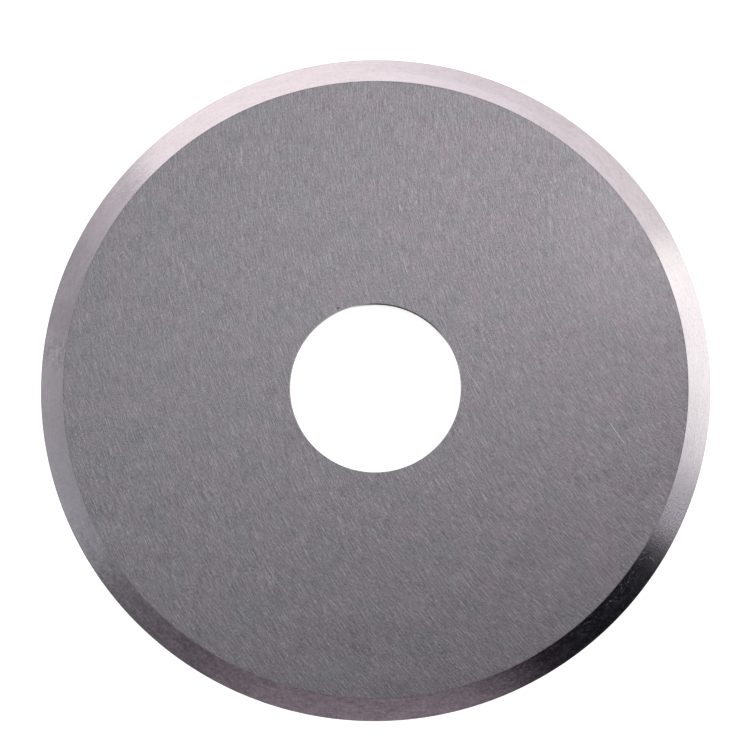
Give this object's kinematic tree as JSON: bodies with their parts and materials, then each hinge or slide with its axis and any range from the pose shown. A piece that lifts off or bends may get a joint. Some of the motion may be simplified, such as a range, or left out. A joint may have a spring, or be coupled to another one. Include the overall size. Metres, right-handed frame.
{
  "type": "rotary cutter blade",
  "caption": "Thin round knife blade with a plain bore for an arbor and a shallow ground bevel on each face that meets in the cutting edge.",
  "frame": {"origin": "centre of the bore on the lower face, which the blade lies on", "axes": "+Z along the bore, out of the upper face; X and Y lie in the lower face and are interchangeable, because the blade is round"},
  "size_m": [0.1, 0.1, 0.001],
  "materials": {
    "ground_steel": "hardened tool steel, surface-ground faces with fine curved grinding lines, polished bevels"
  },
  "bodies": {
    "root": {"blade": "ground_steel"}
  },
  "joints": []
}
